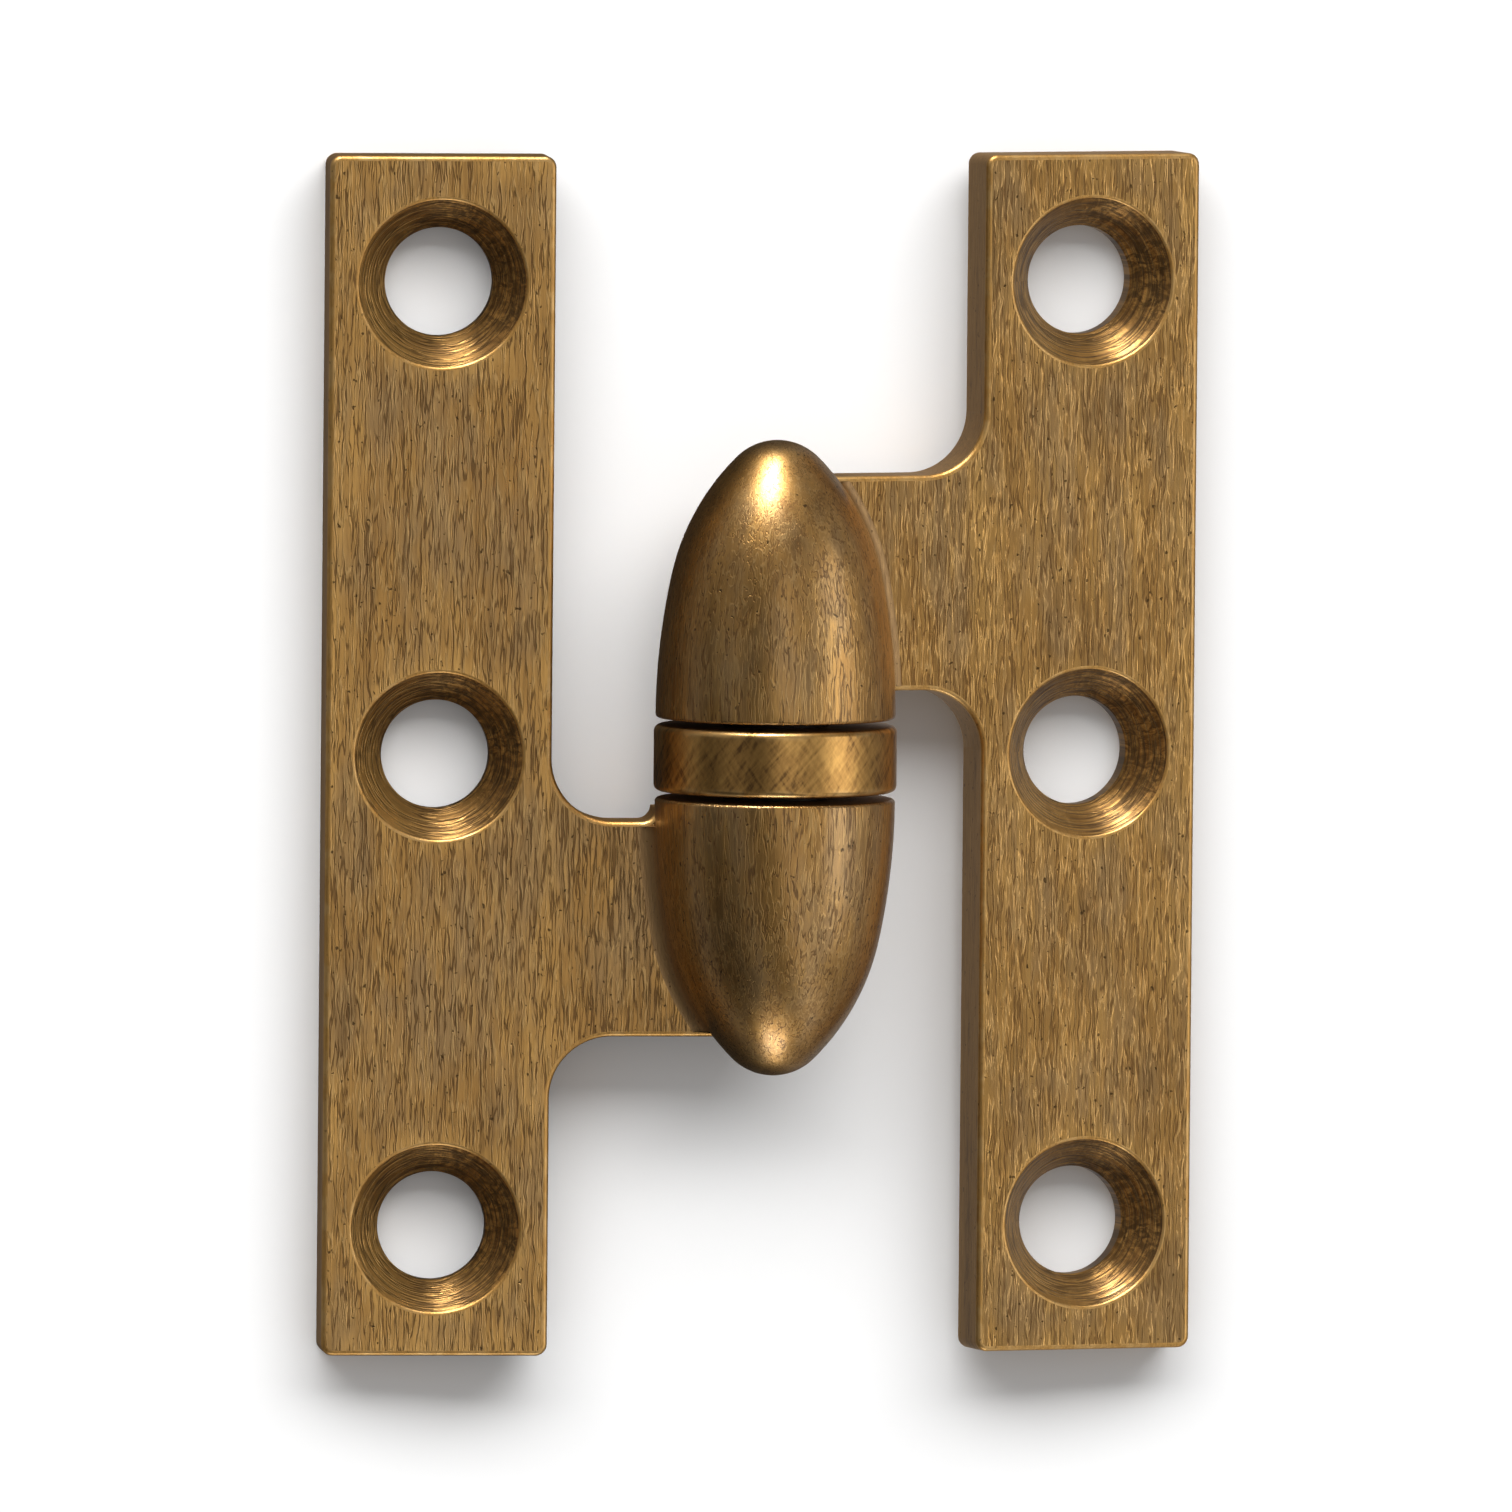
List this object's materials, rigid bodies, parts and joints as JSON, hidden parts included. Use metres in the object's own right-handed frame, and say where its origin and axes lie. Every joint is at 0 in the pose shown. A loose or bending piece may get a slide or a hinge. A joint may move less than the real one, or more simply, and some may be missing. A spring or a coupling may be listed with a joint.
{
  "type": "paumelle hinge",
  "caption": "Lift-off paumelle hinge with an olive-shaped knuckle, a ring between its halves and countersunk screw leaves.",
  "frame": {"origin": "bottom centre of the open hinge as it lies on its back, under the middle of its knuckle", "axes": "+Y along the hinge pin, from the lower leaf's half to the upper leaf's half; +X from the lower leaf to the upper leaf; +Z away from the screw faces, up when the hinge lies on its back"},
  "size_m": [0.0472, 0.0636, 0.0128],
  "materials": {
    "antique_brass": "antique brass, brushed along the pin and waxed, satin",
    "ring_brass": "antique brass, turned and rubbed by hand, satin",
    "pin_steel": "ground bright steel",
    "ball_steel": "polished bearing steel"
  },
  "bodies": {
    "fixed_half": {"lower_leaf": "antique_brass", "hinge_pin": "pin_steel"},
    "ring": {"knuckle_ring": "ring_brass"},
    "ball": {"thrust_ball": "ball_steel"},
    "lift_off_half": {"upper_leaf": "antique_brass"}
  },
  "joints": [
    {"name": "ring_spin", "type": "hinge", "parent": "fixed_half", "child": "ring", "pos_m": [0, 0, 0.00643], "axis": [0, 1, 0], "continuous": true},
    {"name": "leaf_swing", "type": "hinge", "parent": "fixed_half", "child": "ball", "pos_m": [0, 0, 0.00643], "axis": [0, -1, 0], "range_deg": [-130, 193]},
    {"name": "lift_off", "type": "slide", "parent": "ball", "child": "lift_off_half", "axis": [0, 1, 0], "range_m": [0, 0.016]}
  ]
}
